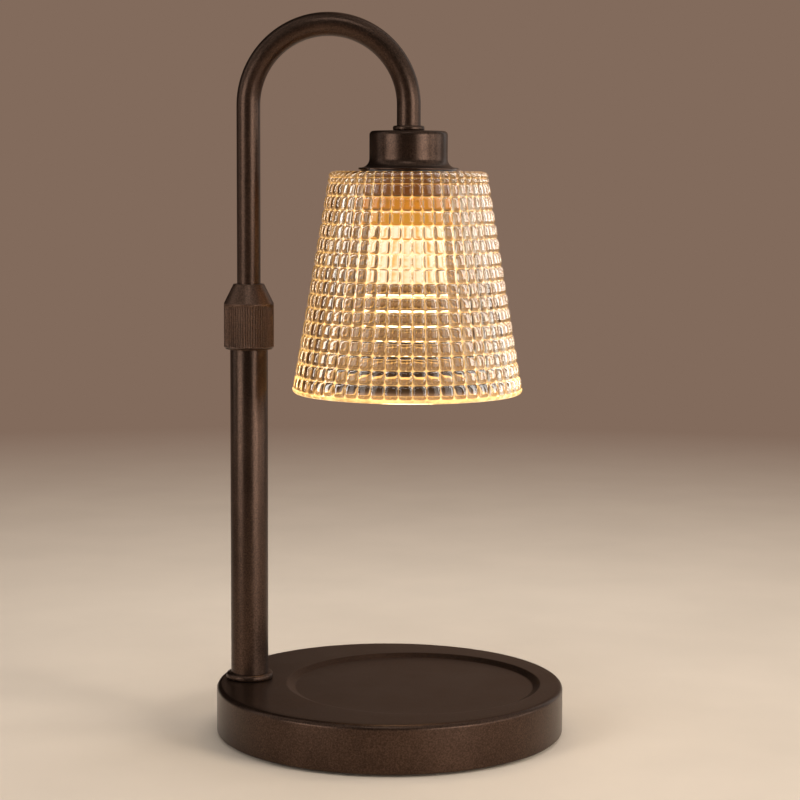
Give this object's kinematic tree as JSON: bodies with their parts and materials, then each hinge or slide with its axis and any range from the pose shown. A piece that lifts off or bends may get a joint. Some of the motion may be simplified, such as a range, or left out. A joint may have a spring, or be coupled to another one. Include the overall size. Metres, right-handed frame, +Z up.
{
  "type": "candle warmer lamp",
  "caption": "Table lamp that melts a candle from above: weighted round base with a shallow seat, telescoping gooseneck with a knurled lock nut, and a waffle-pressed glass shade.",
  "frame": {"origin": "centre of the base on the surface it stands on", "axes": "+Z up; +X from the post towards the candle seat and the shade's axis; the lamp is symmetric about the XZ plane apart from its inner wiring and the cord inlet at +Y"},
  "size_m": [0.15, 0.15, 0.3088],
  "materials": {
    "bronze_coat": "fine-textured satin powder coat, dark bronze",
    "cast_iron": "raw casting",
    "zinc_steel": "bright zinc plate",
    "black_foam": "closed-cell foam rubber, matt",
    "black_nylon": "moulded nylon",
    "white_nylon": "moulded nylon",
    "brass": "turned",
    "lead_sleeve": "silicone-sleeved lead",
    "ceramic": "unglazed steatite",
    "silicone": "black silicone",
    "sleeve_plastic": "heat-resistant moulding, lets some light through",
    "clear_glass": "pressed, fire polished",
    "bulb_glass": "lit reflector glass, warm",
    "bulb_burner": "lit halogen burner"
  },
  "bodies": {
    "base": {"base_cover": "bronze_coat", "ballast_plate": "cast_iron", "bottom_plate": "zinc_steel", "base_pad": "black_foam", "base_screws": "zinc_steel", "inlet_grommet": "black_nylon", "terminal_block": "white_nylon", "terminal_inserts": "brass", "base_lead": "lead_sleeve", "post_lead": "lead_sleeve", "post_foot_ring": "bronze_coat", "post_tube": "bronze_coat", "post_stud": "zinc_steel", "post_washer": "zinc_steel", "post_nut": "zinc_steel", "collet_seat": "zinc_steel"},
    "lock_nut": {"lock_nut": "bronze_coat"},
    "collet": {"collet": "white_nylon"},
    "arm": {"arm_tube": "bronze_coat", "guide_bush": "white_nylon", "neck_ring": "bronze_coat", "arm_nipple": "zinc_steel", "nipple_nut": "zinc_steel", "shade_cap": "bronze_coat", "holder_bracket": "zinc_steel", "holder_screws": "zinc_steel", "lampholder": "ceramic", "lampholder_contacts": "brass", "holder_leads": "lead_sleeve", "shade_sleeve": "sleeve_plastic", "shade_gasket": "silicone", "shade": "clear_glass", "shade_ring": "sleeve_plastic", "arm_lead": "lead_sleeve"},
    "bulb": {"bulb_reflector": "bulb_glass", "bulb_lens": "bulb_glass", "bulb_base": "ceramic", "bulb_pins": "zinc_steel", "bulb_capsule": "bulb_burner"}
  },
  "joints": [
    {"name": "lock_nut_turn", "type": "hinge", "parent": "base", "child": "lock_nut", "pos_m": [-0.0615, 0, 0.18], "axis": [0, 0, 1], "range_deg": [0, 180]},
    {"name": "arm_swivel", "type": "hinge", "parent": "base", "child": "collet", "pos_m": [-0.0615, 0, 0.18], "axis": [0, 0, 1], "range_deg": [-90, 90]},
    {"name": "arm_height", "type": "slide", "parent": "collet", "child": "arm", "axis": [0, 0, 1], "range_m": [-0.045, 0.032], "deforming": ["post_lead"]},
    {"name": "bulb_twist", "type": "hinge", "parent": "arm", "child": "bulb", "pos_m": [0.0069, 0, 0.2387], "axis": [0, 0, 1], "range_deg": [-25, 0]}
  ]
}
